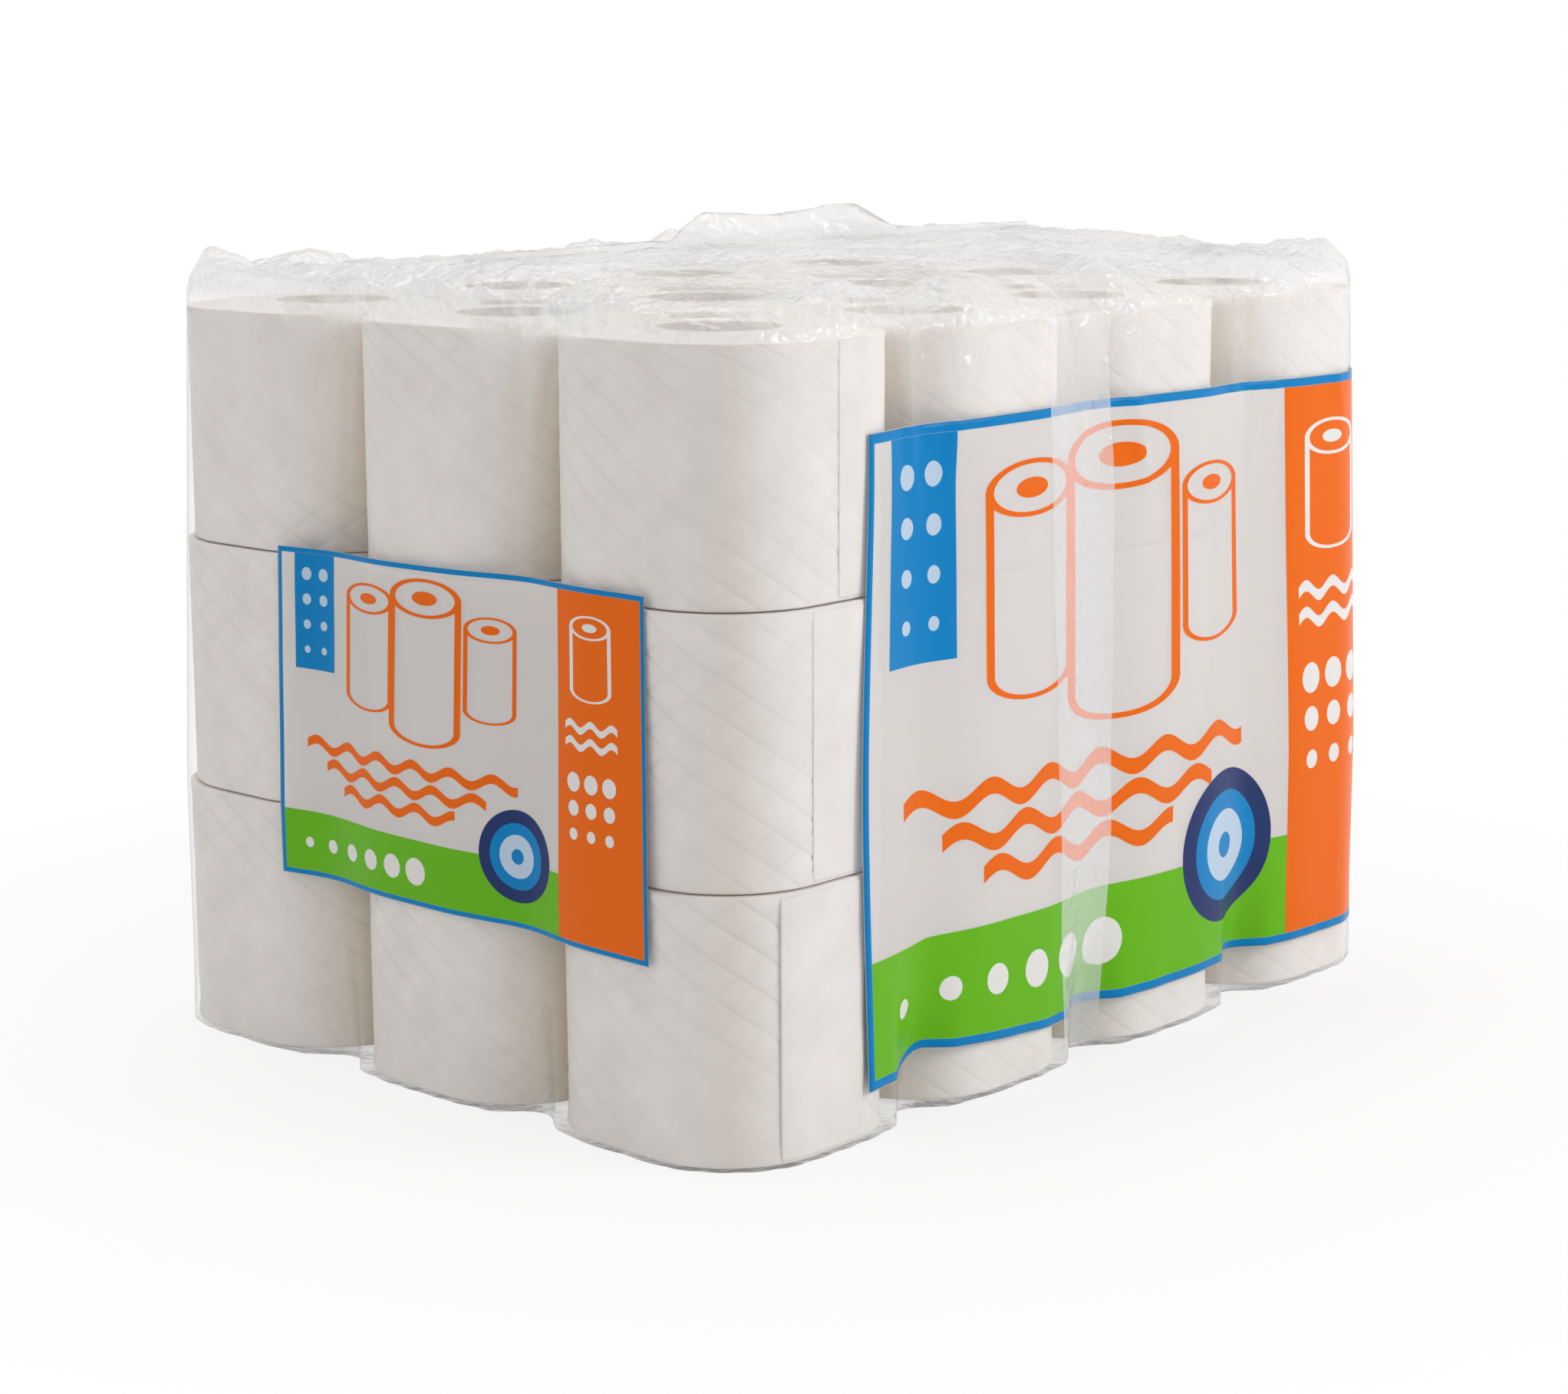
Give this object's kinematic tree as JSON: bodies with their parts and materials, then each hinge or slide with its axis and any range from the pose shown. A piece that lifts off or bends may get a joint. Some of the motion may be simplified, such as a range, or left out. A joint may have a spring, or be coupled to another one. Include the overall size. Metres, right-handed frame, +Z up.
{
  "type": "toilet paper roll pack",
  "caption": "Clear film pack of white quilted toilet paper rolls standing on end in layers, with cardboard cores and a folded, sealed top.",
  "frame": {"origin": "on the ground, under the middle of the pack", "axes": "+Z is up, +X runs along the long side, and the long face with the film's lap seal looks towards -Y"},
  "size_m": [0.416, 0.3266, 0.3237],
  "materials": {
    "film": "glossy",
    "print": "glossy",
    "tissue": "matte",
    "cardboard": "matte"
  },
  "bodies": {
    "root": {"film_wrap": "film", "cores_row1_column1": "cardboard", "roll_layer1_row1_column1": "tissue", "roll_layer2_row1_column1": "tissue", "roll_layer3_row1_column1": "tissue", "cores_row1_column2": "cardboard", "roll_layer1_row1_column2": "tissue", "roll_layer2_row1_column2": "tissue", "roll_layer3_row1_column2": "tissue", "cores_row1_column3": "cardboard", "roll_layer1_row1_column3": "tissue", "roll_layer2_row1_column3": "tissue", "roll_layer3_row1_column3": "tissue", "cores_row1_column4": "cardboard", "roll_layer1_row1_column4": "tissue", "roll_layer2_row1_column4": "tissue", "roll_layer3_row1_column4": "tissue", "cores_row2_column1": "cardboard", "roll_layer1_row2_column1": "tissue", "roll_layer2_row2_column1": "tissue", "roll_layer3_row2_column1": "tissue", "cores_row2_column2": "cardboard", "roll_layer1_row2_column2": "tissue", "roll_layer2_row2_column2": "tissue", "roll_layer3_row2_column2": "tissue", "cores_row2_column3": "cardboard", "roll_layer1_row2_column3": "tissue", "roll_layer2_row2_column3": "tissue", "roll_layer3_row2_column3": "tissue", "cores_row2_column4": "cardboard", "roll_layer1_row2_column4": "tissue", "roll_layer2_row2_column4": "tissue", "roll_layer3_row2_column4": "tissue", "cores_row3_column1": "cardboard", "roll_layer1_row3_column1": "tissue", "roll_layer2_row3_column1": "tissue", "roll_layer3_row3_column1": "tissue", "cores_row3_column2": "cardboard", "roll_layer1_row3_column2": "tissue", "roll_layer2_row3_column2": "tissue", "roll_layer3_row3_column2": "tissue", "cores_row3_column3": "cardboard", "roll_layer1_row3_column3": "tissue", "roll_layer2_row3_column3": "tissue", "roll_layer3_row3_column3": "tissue", "cores_row3_column4": "cardboard", "roll_layer1_row3_column4": "tissue", "roll_layer2_row3_column4": "tissue", "roll_layer3_row3_column4": "tissue"}
  },
  "joints": []
}
